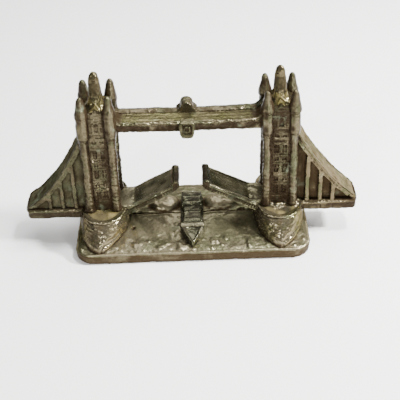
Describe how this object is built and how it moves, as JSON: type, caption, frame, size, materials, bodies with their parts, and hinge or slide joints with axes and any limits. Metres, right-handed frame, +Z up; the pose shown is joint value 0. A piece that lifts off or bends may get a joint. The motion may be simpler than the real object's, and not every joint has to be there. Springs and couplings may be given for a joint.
{
  "type": "miniature bridge souvenir",
  "caption": "Cast pewter souvenir miniature of a twin-towered bascule bridge with raised leaves, side spans and a boat on a river plinth.",
  "frame": {"origin": "middle of the plinth's flat underside", "axes": "+X along the bridge from the left side span to the right one, +Y from the front, where the boat's bow points, to the rear, +Z up"},
  "size_m": [0.07, 0.0248, 0.0384],
  "materials": {
    "plinth_pewter": "antiqued cast pewter, greenish grey",
    "pier_pewter": "antiqued cast pewter, worn bright at the rims",
    "tower_pewter": "antiqued cast pewter with dark brown recesses",
    "roof_pewter": "antiqued cast pewter, olive tarnish",
    "walkway_pewter": "antiqued cast pewter, yellowish deck",
    "span_pewter": "antiqued cast pewter with dark brown recesses",
    "leaf_pewter": "antiqued cast pewter, dark",
    "boat_pewter": "antiqued cast pewter, dark"
  },
  "bodies": {
    "root": {"bascule_leaf_left": "leaf_pewter", "bascule_leaf_right": "leaf_pewter", "boat_cabin": "boat_pewter", "boat_coaming": "boat_pewter", "boat_hull": "boat_pewter", "boat_wheelhouse": "boat_pewter", "pier_coping_left": "pier_pewter", "pier_coping_right": "pier_pewter", "pier_left": "pier_pewter", "pier_right": "pier_pewter", "river_plinth": "plinth_pewter", "span_deck_left": "span_pewter", "span_deck_right": "span_pewter", "span_panel_left": "span_pewter", "span_panel_right": "span_pewter", "suspension_truss_left_front": "span_pewter", "suspension_truss_left_rear": "span_pewter", "suspension_truss_right_front": "span_pewter", "suspension_truss_right_rear": "span_pewter", "tower_left": "tower_pewter", "tower_right": "tower_pewter", "tower_roof_left": "roof_pewter", "tower_roof_right": "roof_pewter", "turret_left_front_inner": "tower_pewter", "turret_left_front_outer": "tower_pewter", "turret_left_rear_inner": "tower_pewter", "turret_left_rear_outer": "tower_pewter", "turret_right_front_inner": "tower_pewter", "turret_right_front_outer": "tower_pewter", "turret_right_rear_inner": "tower_pewter", "turret_right_rear_outer": "tower_pewter", "walkway_crest_front": "walkway_pewter", "walkway_crest_rear": "walkway_pewter", "walkway_deck": "walkway_pewter", "walkway_girder_front": "walkway_pewter", "walkway_girder_rear": "walkway_pewter"}
  },
  "joints": []
}
